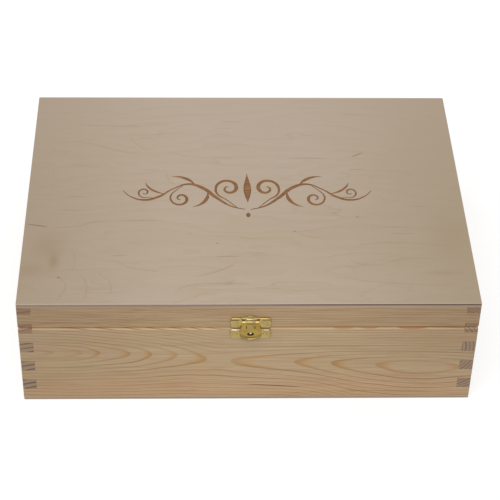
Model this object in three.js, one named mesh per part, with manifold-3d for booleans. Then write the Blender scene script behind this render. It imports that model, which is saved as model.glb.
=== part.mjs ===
// A finger-jointed pine box for papers, with a hinged lid, a snap latch and two nailed butt hinges.
// Millimetres, +Z up. The origin is the centre of the underside and the front faces -Y.

import * as THREE from "three";
import { mergeVertices } from "three/addons/utils/BufferGeometryUtils.js";
import Module from "manifold-3d";

const wasm = await Module();
wasm.setup();

// The wooden carcass, glued up whole and then sawn apart at the seam
const box_width = 330;
const box_depth = 250;
const seam_height = 72;
const lid_height = 23;
const board_thickness = 10;
const panel_thickness = 3;
const saw_gap = 0.3;
const glue_line = 0.1;
const lowest_stretch = 8.6;
const finger_height = 9.3;
const corner_radius = 0.8;
const base_rim_chamfer = 1.3;
const lid_rim_chamfer = 1.3;
const panel_edge_chamfer = 0.4;

// Clearances, and how far a cutting tool runs past what it cuts
const seat_gap = 0.05;
const pin_gap = 0.1;
const nail_gap = 0.1;
const knuckle_gap = 0.25;
const swing_gap = 0.3;
const overrun = 1;

// The brass nail that holds every plate and leaf
const nail_length = 8;
const nail_shank_radius = 0.5;
const nail_point_length = 1.2;
const nail_head_radius = 1.05;
const nail_head_height = 0.5;

// The latch on the front, nailed on a little right of the middle
const latch_offset = 1;
const latch_pin_radius = 0.55;
const latch_axis_lift = 8;
const latch_nail_spacing = 20.5;
const plate_sheet = 0.8;
const plate_length = 28;
const plate_height = 9.2;
const plate_point = 1;
const plate_edge_round = 0.3;
const plate_bead_radius = 0.6;
const crown_rise = 2;
const crown_width = 13;
const upper_plate_lift = 1.4;
const lower_plate_drop = 0.2;
const centre_knuckle_width = 5.3;
const centre_knuckle_wall = 1.2;
const hasp_sheet = 0.6;
const hasp_strap_width = 3;
const hasp_strap_gap = 0.6;
const hasp_slit_depth = 6.7;
const hasp_tongue_drop = 2.1;
const hasp_belly_width = 16;
const hasp_hole_width = 5;
const hasp_hole_height = 3.4;
const hasp_nose_drop = 4.7;
const hasp_flare_radius = 11.5;
const hasp_flare_lift = 8.3;
const hasp_bend_radius = 0.5;
const hasp_lip_length = 1.6;
const stud_drop = 3.6;
const stud_clearance = 0.15;
const stud_head_radius = 1.1;
const stud_shank_radius = 0.6;
const stud_shank_length = 6;

// The butt hinges on the back
const hinge_spacing = 200;
const hinge_width = 30;
const hinge_leaf_height = 12;
const hinge_leaf_corner = 1.5;
const hinge_sheet = 0.8;
const hinge_pin_radius = 1;
const hinge_nail_spacing = 18;
const hinge_nail_drop = 7.2;

// Angles, counts, and shares of the size that a curve follows
const lip_angle = THREE.MathUtils.degToRad(45);
const hasp_lean = THREE.MathUtils.degToRad(3.5);
const curl_angle = THREE.MathUtils.degToRad(275);
const quarter_turn = Math.PI / 2;
const hinge_knuckles = 5;
const corner_facets = 3;
const curve_facets = 6;
const round_facets = 16;
const curl_facets = 24;
const flare_facets = 90;
const brace_handle_share = 0.25;
const crown_handle_share = 0.5;
const flare_start_share = 0.25;
const flare_handle_share = 0.5;

const pine = new THREE.MeshStandardMaterial({ color: 0xd3ad7c, roughness: 0.62, flatShading: true });
const plywood = new THREE.MeshStandardMaterial({ color: 0xdcc4a0, roughness: 0.55, flatShading: true });
const brass = new THREE.MeshStandardMaterial({
  color: 0xc9a54c,
  roughness: 0.3,
  metalness: 1,
  flatShading: true,
});

// A closed geometry as a solid that can be joined and cut.
function solid_of(geometry) {
  const bare = geometry.clone();
  bare.deleteAttribute("normal");
  bare.deleteAttribute("uv");
  const welded = mergeVertices(bare);
  return new wasm.Manifold(
    new wasm.Mesh({
      numProp: 3,
      vertProperties: welded.attributes.position.array,
      triVerts: new Uint32Array(welded.index.array),
    }),
  );
}

function piece(name, solid, material) {
  const { vertProperties, triVerts } = solid.getMesh();
  const geometry = new THREE.BufferGeometry();
  geometry.setAttribute("position", new THREE.BufferAttribute(vertProperties, 3));
  geometry.setIndex(new THREE.BufferAttribute(triVerts, 1));
  geometry.computeVertexNormals();
  const mesh = new THREE.Mesh(geometry, material);
  mesh.name = name;
  return mesh;
}

// A wall's own frame: x runs along it to the right as seen from outside, y is the height above
// the table, and z stands out of its outer face, which is z = 0.
function wall_frame(turn, distance) {
  const turned = new THREE.Group();
  turned.rotation.z = turn;
  const wall = new THREE.Group();
  wall.rotation.x = quarter_turn;
  wall.position.y = -distance;
  turned.add(wall);
  box.add(turned);
  return wall;
}

function rounded_rectangle(width, height, radius) {
  const x = width / 2 - radius;
  const y = height / 2 - radius;
  const shape = new THREE.Shape();
  shape.absarc(x, y, radius, 0, quarter_turn);
  shape.absarc(-x, y, radius, quarter_turn, 2 * quarter_turn);
  shape.absarc(-x, -y, radius, 2 * quarter_turn, 3 * quarter_turn);
  shape.absarc(x, -y, radius, 3 * quarter_turn, 4 * quarter_turn);
  shape.closePath();
  return shape;
}

// The plan of the box with its sanded upright corners, run up from one height to another in the
// frame of a wall that is length long, with the opposite wall at reach.
function plan_block(length, reach, bottom, top) {
  const geometry = new THREE.ExtrudeGeometry(rounded_rectangle(length, reach, corner_radius), {
    depth: top - bottom,
    bevelEnabled: false,
    curveSegments: corner_facets,
  });
  return solid_of(geometry.rotateX(-quarter_turn).translate(0, bottom, -reach / 2));
}

// The same block with square corners, and with its top and bottom edges chamfered all round.
function chamfered_block(length, reach, bottom, top, chamfer) {
  const x = length / 2 - chamfer;
  const y = reach / 2 - chamfer;
  const plan = new THREE.Shape([
    new THREE.Vector2(-x, -y),
    new THREE.Vector2(x, -y),
    new THREE.Vector2(x, y),
    new THREE.Vector2(-x, y),
  ]);
  const geometry = new THREE.ExtrudeGeometry(plan, {
    depth: top - bottom - 2 * chamfer,
    bevelThickness: chamfer,
    bevelSize: chamfer,
    bevelSegments: 1,
  });
  return solid_of(geometry.rotateX(-quarter_turn).translate(0, bottom + chamfer, -reach / 2));
}

const box_height = seam_height + lid_height;

// Plywood panels, full size, glued over the edges of the boards

function panel(name, bottom, eased_top) {
  const top = bottom + panel_thickness;
  const spare = overrun + panel_edge_chamfer;
  const eased = chamfered_block(
    box_width,
    box_depth,
    eased_top ? bottom - spare : bottom,
    eased_top ? top : top + spare,
    panel_edge_chamfer,
  );
  return piece(name, plan_block(box_width, box_depth, bottom, top).intersect(eased), plywood);
}

// Finger-jointed boards

const boards_bottom = panel_thickness + glue_line;
const boards_top = box_height - panel_thickness - glue_line;
const base_rim = seam_height - saw_gap / 2;
const lid_rim = seam_height + saw_gap / 2;

// The heights at which the corner passes from one board's finger to the other's.
function finger_steps() {
  const steps = [];
  let height = panel_thickness + lowest_stretch;
  while (height + glue_line < boards_top) {
    steps.push(height);
    height += finger_height;
  }
  return steps;
}

// One board before it is sawn. The lowest stretch of the corner belongs to the front and back boards.
function fingered_board(length, starts_on_finger) {
  const finger_end = length / 2;
  const notch_floor = finger_end - board_thickness - glue_line;
  let on_finger = starts_on_finger;
  const right_edge = [];
  const mark = (height) => right_edge.push(new THREE.Vector2(on_finger ? finger_end : notch_floor, height));
  mark(boards_bottom);
  for (const step of finger_steps()) {
    const height = on_finger ? step - glue_line / 2 : step + glue_line / 2;
    mark(height);
    on_finger = !on_finger;
    mark(height);
  }
  mark(boards_top);
  const left_edge = right_edge.map((point) => new THREE.Vector2(-point.x, point.y)).reverse();
  const geometry = new THREE.ExtrudeGeometry(new THREE.Shape([...right_edge, ...left_edge]), {
    depth: board_thickness,
    bevelEnabled: false,
  });
  return solid_of(geometry.translate(0, 0, -board_thickness));
}

// The base and lid boards of one wall, sawn from one fingered board, with holes for what is nailed on.
function sawn_boards(wall, name, length, reach, starts_on_finger, holes) {
  const whole = holes.reduce(
    (board, hole) => board.subtract(hole),
    fingered_board(length, starts_on_finger).intersect(plan_block(length, reach, 0, box_height)),
  );
  const low = -overrun - base_rim_chamfer;
  const high = box_height + overrun + lid_rim_chamfer;
  const below = chamfered_block(length, reach, low, base_rim, base_rim_chamfer);
  const above = chamfered_block(length, reach, lid_rim, high, lid_rim_chamfer);
  wall.add(piece("base_" + name + "_board", whole.intersect(below), pine));
  wall.add(piece("lid_" + name + "_board", whole.intersect(above), pine));
}

// Nails and their holes

// A round cutter square to a wall, from a depth behind its outer face to a height in front of it.
function drill(x, y, radius, depth, height) {
  const length = depth + height;
  const geometry = new THREE.CylinderGeometry(radius, radius, length, round_facets);
  return solid_of(geometry.rotateX(quarter_turn).translate(x, y, length / 2 - depth));
}

function nail_hole({ x, y }, depth, height) {
  return drill(x, y, nail_shank_radius + nail_gap, depth, height);
}

// A body turned about z, from (radius, z) pairs that start and end on the axis.
function turned(profile, facets) {
  const points = profile.map(([radius, z]) => new THREE.Vector2(radius, z));
  return solid_of(new THREE.LatheGeometry(points, facets).rotateX(quarter_turn));
}

// A pointed shank below z = 0 and a domed head above it.
function domed_pin(shank_radius, shank_length, head_radius, head_height) {
  const dome = [];
  for (let step = 0; step < curve_facets; step += 1) {
    const angle = (step / curve_facets) * quarter_turn;
    dome.push([head_radius * Math.cos(angle), head_height * Math.sin(angle)]);
  }
  const shank = [
    [0, -shank_length],
    [shank_radius, nail_point_length - shank_length],
    [shank_radius, 0],
  ];
  return turned([...shank, ...dome, [0, head_height]], round_facets);
}

function nail(name, { x, y }, seat) {
  const solid = domed_pin(nail_shank_radius, nail_length, nail_head_radius, nail_head_height);
  const mesh = piece(name, solid, brass);
  mesh.position.set(x, y, seat);
  return mesh;
}

// Sheet metal

// A section drawn in (z, y) and run along x, centred on x.
function run_along_x(section, width, x) {
  const geometry = new THREE.ExtrudeGeometry(section, {
    depth: width,
    bevelEnabled: false,
    curveSegments: curl_facets,
  });
  return solid_of(geometry.rotateY(-quarter_turn).translate(x + width / 2, 0, 0));
}

function pin_along_x(radius, length) {
  return solid_of(new THREE.CylinderGeometry(radius, radius, length, round_facets).rotateZ(quarter_turn));
}

// A knuckle rolled from the end of a sheet, seen from its end around the pin's centre: the sheet
// comes up as a tail on the side towards +z or -z, goes over the top and curls round underneath.
function knuckle(bore_radius, sheet, tail, side, width, x) {
  const outer = bore_radius + sheet;
  const start = side > 0 ? 0 : Math.PI;
  const end = start + side * curl_angle;
  const section = new THREE.Shape();
  section.moveTo(side * outer, -tail);
  section.lineTo(side * outer, 0);
  section.absarc(0, 0, outer, start, end, side < 0);
  section.absarc(0, 0, bore_radius, end, start, side > 0);
  section.lineTo(side * bore_radius, -tail);
  section.closePath();
  return run_along_x(section, width, x);
}

// Butt hinges

const hinge_bore_radius = hinge_pin_radius + pin_gap;
const hinge_barrel_radius = hinge_bore_radius + hinge_sheet;
const hinge_axis_reach = seat_gap + hinge_barrel_radius;
const hinge_nail_seat = seat_gap + hinge_sheet + seat_gap;

// Where the two nails of a leaf go, in the wall's frame. A rise of 1 is the lid's leaf, -1 the base's.
function hinge_nail_places(x, rise) {
  return [-1, 1].map((side) => ({
    end: side < 0 ? "left" : "right",
    x: x + (side * hinge_nail_spacing) / 2,
    y: seam_height + rise * hinge_nail_drop,
  }));
}

// A leaf hanging from the hinge axis: a flat plate, and every second knuckle of the barrel.
function hinge_leaf(name, first_knuckle) {
  const plate_top = -hinge_barrel_radius - swing_gap;
  const plate_middle = (plate_top - hinge_leaf_height) / 2;
  const outline = rounded_rectangle(hinge_width, hinge_leaf_height + plate_top, hinge_leaf_corner);
  const plate = new THREE.ExtrudeGeometry(outline, {
    depth: hinge_sheet,
    bevelEnabled: false,
    curveSegments: corner_facets,
  });
  let leaf = solid_of(plate.translate(0, plate_middle, -hinge_barrel_radius));
  const pitch = hinge_width / hinge_knuckles;
  const tail = hinge_leaf_height / 2;
  for (let number = first_knuckle; number < hinge_knuckles; number += 2) {
    const x = (number + 0.5) * pitch - hinge_width / 2;
    leaf = leaf.add(knuckle(hinge_bore_radius, hinge_sheet, tail, -1, pitch - knuckle_gap, x));
  }
  for (const side of [-1, 1]) {
    const place = { x: (side * hinge_nail_spacing) / 2, y: -hinge_nail_drop };
    leaf = leaf.subtract(nail_hole(place, hinge_barrel_radius + overrun, overrun));
  }
  return piece(name, leaf, brass);
}

function butt_hinge(wall, side_name, x) {
  const hinge = new THREE.Group();
  hinge.position.set(x, seam_height, hinge_axis_reach);
  hinge.add(hinge_leaf(side_name + "_hinge_base_leaf", 0));
  const lid_leaf = hinge_leaf(side_name + "_hinge_lid_leaf", 1);
  lid_leaf.rotation.z = Math.PI;
  hinge.add(lid_leaf);
  hinge.add(piece(side_name + "_hinge_pin", pin_along_x(hinge_pin_radius, hinge_width), brass));
  wall.add(hinge);
  for (const [leaf, rise] of [["base", -1], ["lid", 1]]) {
    for (const place of hinge_nail_places(x, rise)) {
      wall.add(nail(side_name + "_hinge_" + leaf + "_nail_" + place.end, place, hinge_nail_seat));
    }
  }
}

// The latch, in the front wall's frame with x from the latch's own middle

const upper_plate_middle = seam_height + upper_plate_lift + plate_height / 2;
const lower_plate_middle = seam_height - lower_plate_drop - plate_height / 2;
const plate_front = seat_gap + plate_sheet;
const latch_nail_seat = plate_front + seat_gap;
const latch_bore_radius = latch_pin_radius + pin_gap;
const latch_axis_height = seam_height + latch_axis_lift;
const stud_height = seam_height - stud_drop;
const stud_hole_radius = stud_shank_radius + nail_gap;
const stud_below_axis = latch_axis_height - stud_height;
const hasp_width = centre_knuckle_width + 2 * (hasp_strap_gap + hasp_strap_width);

// The hasp hangs behind the pin and leans out, clear of the lower plate's bead. The stud's head
// stops short of the hasp's back, so the hasp can rise past it with the lid.
const latch_axis_reach = plate_front + swing_gap + hasp_sheet + latch_bore_radius;
const hasp_reach_at_stud = plate_front + swing_gap + stud_below_axis * Math.tan(hasp_lean);
const stud_seat = plate_front + seat_gap;
const stud_head_height = hasp_reach_at_stud - stud_clearance - stud_seat;

function latch_nail_places(middle) {
  return [-1, 1].map((side) => ({
    end: side < 0 ? "left" : "right",
    x: (side * latch_nail_spacing) / 2,
    y: middle,
  }));
}

// A plate's outline around its own middle, with ends like a brace and, on the upper plate, a low crown.
function plate_outline(crown) {
  const x = plate_length / 2;
  const y = plate_height / 2;
  const tip = x + plate_point;
  const handle = y * brace_handle_share;
  const shape = new THREE.Shape();
  shape.moveTo(-x, -y);
  shape.lineTo(x, -y);
  shape.quadraticCurveTo(x, -handle, tip, 0);
  shape.quadraticCurveTo(x, handle, x, y);
  if (crown > 0) {
    const foot = crown_width / 2;
    const bend = foot * crown_handle_share;
    shape.lineTo(foot, y);
    shape.bezierCurveTo(bend, y, bend, y + crown, 0, y + crown);
    shape.bezierCurveTo(-bend, y + crown, -bend, y, -foot, y);
  }
  shape.lineTo(-x, y);
  shape.quadraticCurveTo(-x, handle, -tip, 0);
  shape.quadraticCurveTo(-x, -handle, -x, -y);
  return shape;
}

// A half-round bead stamped along the plate's top edge, from one x to another.
function plate_bead(middle, from, to) {
  const y = middle + plate_height / 2 - plate_bead_radius;
  return pin_along_x(plate_bead_radius, to - from).translate([(from + to) / 2, y, plate_front]);
}

function latch_plate(middle, crown) {
  const geometry = new THREE.ExtrudeGeometry(plate_outline(crown), {
    depth: plate_sheet - 2 * plate_edge_round,
    bevelThickness: plate_edge_round,
    bevelSize: plate_edge_round,
    bevelOffset: -plate_edge_round,
    bevelSegments: 2,
    curveSegments: curve_facets,
  });
  const plate = solid_of(geometry.translate(0, middle, seat_gap + plate_edge_round));
  return latch_nail_places(middle).reduce(
    (cut, place) => cut.subtract(nail_hole(place, overrun, plate_front + overrun)),
    plate,
  );
}

// The upper plate carries the middle knuckle on a strap struck up from it.
function upper_plate() {
  const strap_length = latch_axis_reach - seat_gap - plate_sheet / 2;
  const strap = new THREE.BoxGeometry(centre_knuckle_width, plate_sheet, strap_length);
  const knuckle_solid = pin_along_x(latch_bore_radius + centre_knuckle_wall, centre_knuckle_width)
    .add(solid_of(strap.translate(0, -latch_bore_radius - plate_sheet / 2, -strap_length / 2)))
    .subtract(pin_along_x(latch_bore_radius, centre_knuckle_width + overrun))
    .translate([0, latch_axis_height, latch_axis_reach]);
  const bead_end = plate_length / 2 - plate_edge_round;
  return latch_plate(upper_plate_middle, crown_rise)
    .add(plate_bead(upper_plate_middle, -bead_end, -crown_width / 2))
    .add(plate_bead(upper_plate_middle, crown_width / 2, bead_end))
    .add(knuckle_solid);
}

function lower_plate() {
  const bead_end = plate_length / 2 - plate_edge_round;
  return latch_plate(lower_plate_middle, 0)
    .add(plate_bead(lower_plate_middle, -bead_end, bead_end))
    .subtract(drill(0, stud_height, stud_hole_radius, overrun, plate_front + overrun));
}

// The hasp's sheet before it is cut out, turned about a point above the stud: a flat disc behind
// the pin, with its rim flared forward. Its place is taken from the pin's centre.
function hasp_sheet_metal() {
  const back = -latch_bore_radius - hasp_sheet;
  const outer = hasp_bend_radius + hasp_sheet;
  const bend = (radius, angle) => [
    hasp_flare_radius + radius * Math.sin(angle),
    back + outer - radius * Math.cos(angle),
  ];
  const angles = [];
  for (let step = 0; step <= corner_facets; step += 1) {
    angles.push((step / corner_facets) * lip_angle);
  }
  const under = angles.map((angle) => bend(outer, angle));
  const above = angles.map((angle) => bend(hasp_bend_radius, angle)).reverse();
  const rim = [under[corner_facets], above[0]].map(([radius, z]) => [
    radius + hasp_lip_length * Math.cos(lip_angle),
    z + hasp_lip_length * Math.sin(lip_angle),
  ]);
  const disc = turned([[0, back], ...under, ...rim, ...above, [0, back + hasp_sheet]], flare_facets);
  return disc.translate([0, hasp_flare_lift - stud_below_axis, 0]);
}

// The hasp from the front, around the pin's centre: straps, then a belly round the hole and a nose.
function hasp_outline() {
  const strap = hasp_width / 2;
  const belly = hasp_belly_width / 2;
  const flare_start = -stud_below_axis * flare_start_share;
  const flare = -stud_below_axis * flare_handle_share;
  const shape = new THREE.Shape();
  shape.moveTo(-strap, 0);
  shape.lineTo(strap, 0);
  shape.lineTo(strap, flare_start);
  shape.bezierCurveTo(strap, flare, belly, flare, belly, -stud_below_axis);
  shape.absellipse(0, -stud_below_axis, belly, hasp_nose_drop, 0, -Math.PI, true);
  shape.bezierCurveTo(-belly, flare, -strap, flare, -strap, flare_start);
  shape.closePath();
  return shape;
}

// A cutter or block run square to the wall, through the whole reach of the hasp.
function run_through_hasp(shape) {
  const reach = latch_bore_radius + hasp_sheet + hasp_lip_length + overrun;
  const geometry = new THREE.ExtrudeGeometry(shape, {
    depth: 2 * reach,
    bevelEnabled: false,
    curveSegments: curve_facets,
  });
  return solid_of(geometry.translate(0, 0, -reach));
}

function hasp() {
  let solid = hasp_sheet_metal().intersect(run_through_hasp(hasp_outline()));
  const notch_width = centre_knuckle_width + 2 * hasp_strap_gap;
  const notch = rounded_rectangle(notch_width, 2 * hasp_tongue_drop, plate_edge_round);
  solid = solid.subtract(run_through_hasp(notch));
  const slit = rounded_rectangle(hasp_strap_gap, 2 * hasp_slit_depth, hasp_strap_gap / 2);
  for (const side of [-1, 1]) {
    const slit_x = (side * (centre_knuckle_width + hasp_strap_gap)) / 2;
    solid = solid.subtract(run_through_hasp(slit).translate([slit_x, 0, 0]));
    const strap_x = (side * (hasp_width - hasp_strap_width)) / 2;
    const tail = hasp_tongue_drop / 2;
    solid = solid.add(knuckle(latch_bore_radius, hasp_sheet, tail, -1, hasp_strap_width, strap_x));
  }
  const oval = new THREE.Shape();
  oval.absellipse(0, -stud_below_axis, hasp_hole_width / 2, hasp_hole_height / 2, 0, 2 * Math.PI);
  return solid.subtract(run_through_hasp(oval)).rotate([-THREE.MathUtils.radToDeg(hasp_lean), 0, 0]);
}

function latch(wall) {
  const group = new THREE.Group();
  group.position.x = latch_offset;
  group.add(piece("latch_upper_plate", upper_plate(), brass));
  group.add(piece("latch_lower_plate", lower_plate(), brass));
  const stud = domed_pin(stud_shank_radius, stud_shank_length, stud_head_radius, stud_head_height);
  const stud_piece = piece("latch_stud", stud, brass);
  stud_piece.position.set(0, stud_height, stud_seat);
  group.add(stud_piece);
  const axis = new THREE.Group();
  axis.position.set(0, latch_axis_height, latch_axis_reach);
  axis.add(piece("latch_hasp", hasp(), brass));
  axis.add(piece("latch_pin", pin_along_x(latch_pin_radius, hasp_width), brass));
  group.add(axis);
  for (const [plate, middle] of [["upper", upper_plate_middle], ["lower", lower_plate_middle]]) {
    for (const place of latch_nail_places(middle)) {
      group.add(nail("latch_" + plate + "_nail_" + place.end, place, latch_nail_seat));
    }
  }
  wall.add(group);
}

// Assembly

const box = new THREE.Group();

const nail_depth = nail_length + overrun;
const latch_places = [...latch_nail_places(upper_plate_middle), ...latch_nail_places(lower_plate_middle)];
const latch_holes = latch_places
  .map((place) => nail_hole(place, nail_depth, overrun))
  .concat(drill(0, stud_height, stud_hole_radius, stud_shank_length + overrun, overrun))
  .map((hole) => hole.translate([latch_offset, 0, 0]));
const front = wall_frame(0, box_depth / 2);
sawn_boards(front, "front", box_width, box_depth, true, latch_holes);
latch(front);

const hinges = [["right", -hinge_spacing / 2], ["left", hinge_spacing / 2]];
const hinge_holes = hinges
  .flatMap(([, x]) => [...hinge_nail_places(x, -1), ...hinge_nail_places(x, 1)])
  .map((place) => nail_hole(place, nail_depth, overrun));
const back = wall_frame(Math.PI, box_depth / 2);
sawn_boards(back, "back", box_width, box_depth, true, hinge_holes);
for (const [side_name, x] of hinges) {
  butt_hinge(back, side_name, x);
}

sawn_boards(wall_frame(quarter_turn, box_width / 2), "right", box_depth, box_width, false, []);
sawn_boards(wall_frame(-quarter_turn, box_width / 2), "left", box_depth, box_width, false, []);

front.add(panel("base_bottom_panel", 0, false));
front.add(panel("lid_top_panel", box_height - panel_thickness, true));

export default box;
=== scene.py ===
import math

import bmesh
import bpy
from mathutils import Matrix, Vector


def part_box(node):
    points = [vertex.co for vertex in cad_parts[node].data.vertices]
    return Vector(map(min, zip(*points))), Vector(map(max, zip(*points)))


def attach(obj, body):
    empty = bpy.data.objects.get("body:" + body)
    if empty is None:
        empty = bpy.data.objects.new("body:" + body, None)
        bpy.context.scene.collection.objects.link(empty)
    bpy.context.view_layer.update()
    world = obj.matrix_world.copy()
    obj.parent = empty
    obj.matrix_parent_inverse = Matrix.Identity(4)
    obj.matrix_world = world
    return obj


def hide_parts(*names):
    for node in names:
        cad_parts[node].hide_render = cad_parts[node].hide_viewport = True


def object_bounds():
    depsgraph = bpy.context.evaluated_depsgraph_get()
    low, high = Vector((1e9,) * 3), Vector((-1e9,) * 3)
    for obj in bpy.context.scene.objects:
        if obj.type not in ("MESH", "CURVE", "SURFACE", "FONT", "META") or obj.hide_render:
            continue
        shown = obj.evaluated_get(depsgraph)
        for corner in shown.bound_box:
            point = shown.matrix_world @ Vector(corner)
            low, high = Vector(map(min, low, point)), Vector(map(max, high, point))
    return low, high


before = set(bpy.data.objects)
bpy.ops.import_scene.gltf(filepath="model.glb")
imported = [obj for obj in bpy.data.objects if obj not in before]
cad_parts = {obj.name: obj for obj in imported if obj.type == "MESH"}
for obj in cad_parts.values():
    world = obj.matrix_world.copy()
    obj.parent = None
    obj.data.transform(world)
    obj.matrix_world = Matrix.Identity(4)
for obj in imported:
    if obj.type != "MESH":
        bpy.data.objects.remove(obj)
cad_low, cad_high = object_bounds()


# The bottom of the base: one sheet of 3 mm birch plywood, a thick core between two face veneers
# that run from left to right. It is glued under the boards and trimmed flush with them.

class Wire:
    """A socket in a material. Arithmetic on it adds Math nodes."""

    def __init__(self, tree, socket=None):
        self.tree = tree
        self.socket = socket

    def node(self, kind, settings, values, output=0):
        """Adds a node, sets its settings and then its sockets, and gives one of its outputs."""
        made = self.tree.nodes.new("ShaderNode" + kind)
        for name, value in settings.items():
            if name == "curve":
                points = made.mapping.curves[0].points
                points[0].location = value[0]
                points[-1].location = value[-1]
                for place in value[1:-1]:
                    points.new(*place)
                made.mapping.update()
            else:
                setattr(made, name, value)
        for name, value in values.items():
            if isinstance(value, Wire):
                self.tree.links.new(value.socket, made.inputs[name])
            else:
                made.inputs[name].default_value = value
        return Wire(self.tree, made.outputs[output])

    def maths(self, operation, *values):
        return self.node("Math", {"operation": operation}, dict(enumerate(values)))

    def __add__(self, other):
        return self.maths("ADD", self, other)

    def __sub__(self, other):
        return self.maths("SUBTRACT", self, other)

    def __rsub__(self, other):
        return self.maths("SUBTRACT", other, self)

    def __mul__(self, other):
        return self.maths("MULTIPLY", self, other)

    def __truediv__(self, other):
        return self.maths("DIVIDE", self, other)

    def __pow__(self, other):
        return self.maths("POWER", self, other)

    def __abs__(self):
        return self.maths("ABSOLUTE", self)

    __radd__ = __add__
    __rmul__ = __mul__

    def larger(self, other):
        return self.maths("MAXIMUM", self, other)

    def smaller(self, other):
        return self.maths("MINIMUM", self, other)

    def fraction(self):
        return self.maths("FRACT", self)

    def between(self, low, high):
        """0 below low, 1 above high, with a smooth step between them."""
        settings = {"interpolation_type": "SMOOTHSTEP"}
        return self.node("MapRange", settings, {"Value": self, "From Min": low, "From Max": high})

    def along_curve(self, points):
        """The smooth curve through (self, value) points, whose values aren't all the same."""
        first, last = points[0][0], points[-1][0]
        low = min(value for _, value in points)
        high = max(value for _, value in points)
        curve = [((at - first) / (last - first), (value - low) / (high - low)) for at, value in points]
        place = (self - first) / (last - first)
        return self.node("FloatCurve", {"curve": curve}, {"Value": place}) * (high - low) + low

    def mixed(self, first, second):
        """The first colour where self is 0 and the second where it is 1."""
        return self.node("Mix", {"data_type": "RGBA"}, {0: self, 6: first, 7: second}, output=2)


def paint(red, green, blue):
    """A colour as it is seen, from 0 to 255, as the light that a shader wants."""
    def light(share):
        return share / 12.92 if share <= 0.04045 else ((share + 0.055) / 1.055) ** 2.4
    return (light(red / 255), light(green / 255), light(blue / 255), 1)


class Finish:
    """A material with its object's own millimetres and a shader to plug colours into."""

    def __init__(self, name, roughness, metallic=0):
        self.material = bpy.data.materials.new(name)
        self.material.use_nodes = True
        tree = self.material.node_tree
        self.shader = tree.nodes["Principled BSDF"]
        self.shader.inputs["Roughness"].default_value = roughness
        self.shader.inputs["Metallic"].default_value = metallic
        self.wire = Wire(tree)
        place = self.wire.node("TexCoord", {}, {}, output="Object")
        self.place = self.scaled(place, (1000, 1000, 1000))
        self.x, self.y, self.z = self.parts(self.place)
        facing = self.wire.node("TexCoord", {}, {}, output="Normal")
        self.facing_x, self.facing_y, self.facing_z = self.parts(facing)

    def scaled(self, vector, by):
        return self.wire.node("VectorMath", {"operation": "MULTIPLY"}, {0: vector, 1: by})

    def parts(self, vector):
        return [self.wire.node("SeparateXYZ", {}, {0: vector}, output=axis) for axis in "XYZ"]

    def vector(self, x, y, z):
        return self.wire.node("CombineXYZ", {}, {0: x, 1: y, 2: z})

    def noise(self, spread, detail=2.0, offset=0.0):
        """Noise from 0 to 1 whose features are about spread millimetres long in each direction."""
        by = [1 / length for length in spread]
        moved = self.wire.node("VectorMath", {"operation": "ADD"}, {
            0: self.scaled(self.place, by),
            1: (offset, offset, offset),
        })
        return self.wire.node("TexNoise", {}, {"Vector": moved, "Scale": 1, "Detail": detail})

    def feed(self, **wires):
        for name, wire in wires.items():
            socket = self.shader.inputs[name.replace("_", " ")]
            self.wire.tree.links.new(wire.socket, socket)

    def bump(self, height, depth):
        """Relief of so many millimetres."""
        relief = self.wire.node("Bump", {}, {"Strength": 1, "Distance": depth / 1000, "Height": height})
        self.feed(Normal=relief)


def dress(node, finish):
    """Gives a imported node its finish."""
    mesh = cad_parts[node].data
    mesh.materials.clear()
    mesh.materials.append(finish.material)


def hill(finish, x, y, width, depth):
    """1 at a place on a sheet, falling smoothly to 0 beyond its width and depth."""
    across = (finish.x - x) / width
    down = (finish.y - y) / depth
    fall = (across ** 2 + down ** 2) * -1
    return fall.maths("EXPONENT", fall)


def streak(right, up, length, width, slope):
    """1 on a thin mark that rises by its slope to the right, from the distances to its middle."""
    across = right / (length / 2)
    off = (up - right * slope) / (width / 2)
    return 1 - (across ** 2 + off ** 2).between(0.35, 1)


def vein(finish, points, wobble):
    """1 along a thin line through (x, y) places on a sheet, fading out towards its ends. wobble is
    how far the line strays from them."""
    along, across = finish.x, finish.y
    if abs(points[-1][1] - points[0][1]) > abs(points[-1][0] - points[0][0]):
        along, across = finish.y, finish.x
        points = [(y, x) for x, y in points]
    points = sorted(points)
    first, last = points[0][0], points[-1][0]
    fade = (last - first) / 6
    off = across - along.along_curve(points) + wobble
    thin = 1 - abs(off).between(0.2, 1.3)
    return thin * along.between(first, first + fade) * (1 - along.between(last - fade, last))


right_back_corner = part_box("base_bottom_panel")[1]
half_width = right_back_corner.x * 1000
half_depth = right_back_corner.y * 1000
birch = {
    "grey": paint(183, 165, 147),
    "warm": paint(182, 164, 140),
    "late ring": paint(170, 151, 124),
    "ring line": paint(146, 120, 88),
    "vein": paint(140, 116, 80),
    "figure": paint(172, 152, 128),
    "fibre": paint(160, 140, 116),
    "fleck": paint(206, 191, 170),
    "sides": paint(157, 138, 113),
    "right side": paint(166, 147, 115),
    "back": paint(190, 171, 156),
    "stain": paint(142, 114, 78),
    "streak": paint(112, 78, 54),
    "end grain": paint(148, 124, 102),
    "pale end grain": paint(172, 149, 126),
    "long grain": paint(172, 150, 127),
    "pale long grain": paint(190, 170, 148),
    "glue": paint(104, 76, 56),
    "soiled edge": paint(112, 86, 60),
    "arris highlight": paint(212, 193, 178),
    "dark veneer": paint(70, 40, 14),
}


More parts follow.
